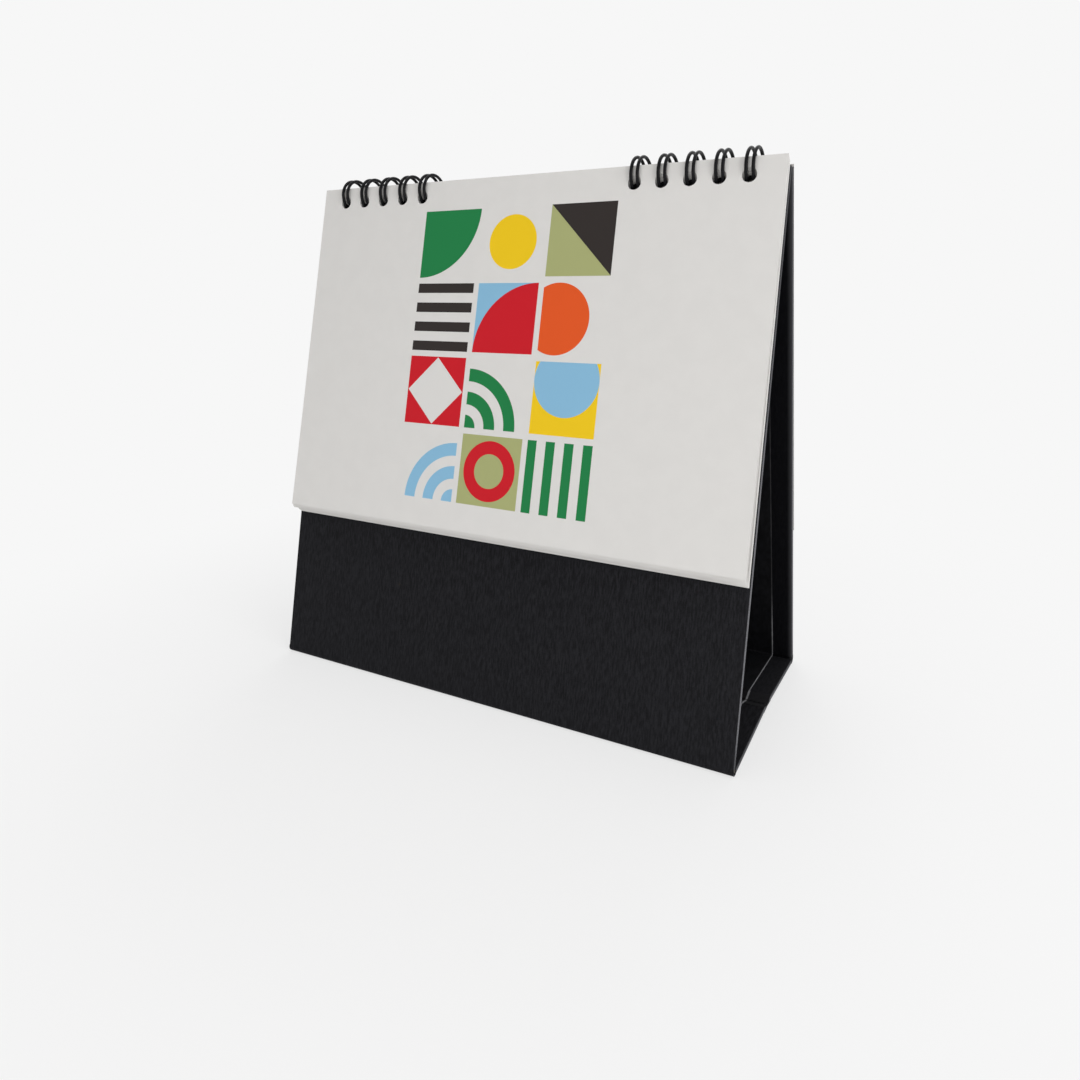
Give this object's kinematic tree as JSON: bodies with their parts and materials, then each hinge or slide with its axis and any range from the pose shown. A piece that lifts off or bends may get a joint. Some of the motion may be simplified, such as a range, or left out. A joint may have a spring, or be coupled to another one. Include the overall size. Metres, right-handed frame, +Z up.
{
  "type": "desk calendar",
  "caption": "Free-standing tent desk calendar: hinged boards covered in black leatherette, carrying paper leaves on twin-loop wire, with a base that folds up at a middle crease.",
  "frame": {"origin": "middle of the stand's footprint, on the surface it stands on", "axes": "+X along the wire loops, to the right as read; +Y to the back; +Z up"},
  "size_m": [0.167, 0.0734, 0.1678],
  "materials": {
    "wrap": "fine-grained matt black leatherette",
    "greyboard": "plain greyboard",
    "lining": "matt black paper",
    "wire": "gloss black coated steel wire",
    "leaf": "matt printed paper"
  },
  "bodies": {
    "front_stand": {"front_board": "greyboard", "front_wrap": "wrap", "front_lining": "lining", "front_fold_strip": "wrap", "wire_left": "wire", "wire_right": "wire"},
    "back_stand": {"back_board": "greyboard", "back_wrap": "wrap", "back_lining": "lining", "back_fold_strip": "wrap"},
    "base_front": {"base_front_board": "greyboard", "base_front_wrap": "wrap", "base_front_lining": "lining", "base_front_crease_strip": "wrap"},
    "base_rear": {"base_rear_board": "greyboard", "base_rear_wrap": "wrap", "base_rear_lining": "lining", "base_rear_crease_strip": "wrap"},
    "cover": {"cover_leaf": "leaf"},
    "month_1": {"month_leaf_1": "leaf"},
    "month_2": {"month_leaf_2": "leaf"},
    "month_3": {"month_leaf_3": "leaf"},
    "month_4": {"month_leaf_4": "leaf"},
    "month_5": {"month_leaf_5": "leaf"},
    "month_6": {"month_leaf_6": "leaf"},
    "back_sheet": {"back_leaf": "leaf"}
  },
  "joints": [
    {"name": "stand_fold", "type": "hinge", "parent": "front_stand", "child": "back_stand", "pos_m": [0, 0, 0.1618], "axis": [-1, 0, 0], "range_deg": [0, 14], "deforming": ["base_front_crease_strip", "base_rear_crease_strip"]},
    {"name": "base_front_fold", "type": "hinge", "parent": "front_stand", "child": "base_front", "pos_m": [0, -0.035, 0.00158], "axis": [1, 0, 0], "range_deg": [0, 68]},
    {"name": "base_rear_fold", "type": "hinge", "parent": "back_stand", "child": "base_rear", "pos_m": [0, 0.035, 0.00158], "axis": [-1, 0, 0], "range_deg": [0, 68]},
    {"name": "cover_turn", "type": "hinge", "parent": "front_stand", "child": "cover", "pos_m": [0, 0, 0.1618], "axis": [-1, 0, 0], "range_deg": [0, 165]},
    {"name": "month_1_turn", "type": "hinge", "parent": "front_stand", "child": "month_1", "pos_m": [0, 0, 0.1618], "axis": [-1, 0, 0], "range_deg": [0, 143.65]},
    {"name": "month_2_turn", "type": "hinge", "parent": "front_stand", "child": "month_2", "pos_m": [0, 0, 0.1618], "axis": [-1, 0, 0], "range_deg": [0, 122.2]},
    {"name": "month_3_turn", "type": "hinge", "parent": "front_stand", "child": "month_3", "pos_m": [0, 0, 0.1618], "axis": [-1, 0, 0], "range_deg": [0, 100.75]},
    {"name": "month_4_turn", "type": "hinge", "parent": "front_stand", "child": "month_4", "pos_m": [0, 0, 0.1618], "axis": [-1, 0, 0], "range_deg": [0, 79.3]},
    {"name": "month_5_turn", "type": "hinge", "parent": "front_stand", "child": "month_5", "pos_m": [0, 0, 0.1618], "axis": [-1, 0, 0], "range_deg": [0, 57.85]},
    {"name": "month_6_turn", "type": "hinge", "parent": "front_stand", "child": "month_6", "pos_m": [0, 0, 0.1618], "axis": [-1, 0, 0], "range_deg": [0, 36.4]},
    {"name": "back_leaf_turn", "type": "hinge", "parent": "back_stand", "child": "back_sheet", "pos_m": [0, 0, 0.1618], "axis": [1, 0, 0], "range_deg": [0, 18]}
  ],
  "couplings": [
    {"joint": "base_front_fold", "follows": "stand_fold", "ratio": 4.85},
    {"joint": "base_rear_fold", "follows": "stand_fold", "ratio": 4.85},
    {"joint": "month_1_turn", "follows": "cover_turn", "ratio": 0.87},
    {"joint": "month_2_turn", "follows": "cover_turn", "ratio": 0.74},
    {"joint": "month_3_turn", "follows": "cover_turn", "ratio": 0.61},
    {"joint": "month_4_turn", "follows": "cover_turn", "ratio": 0.48},
    {"joint": "month_5_turn", "follows": "cover_turn", "ratio": 0.35},
    {"joint": "month_6_turn", "follows": "cover_turn", "ratio": 0.22}
  ]
}
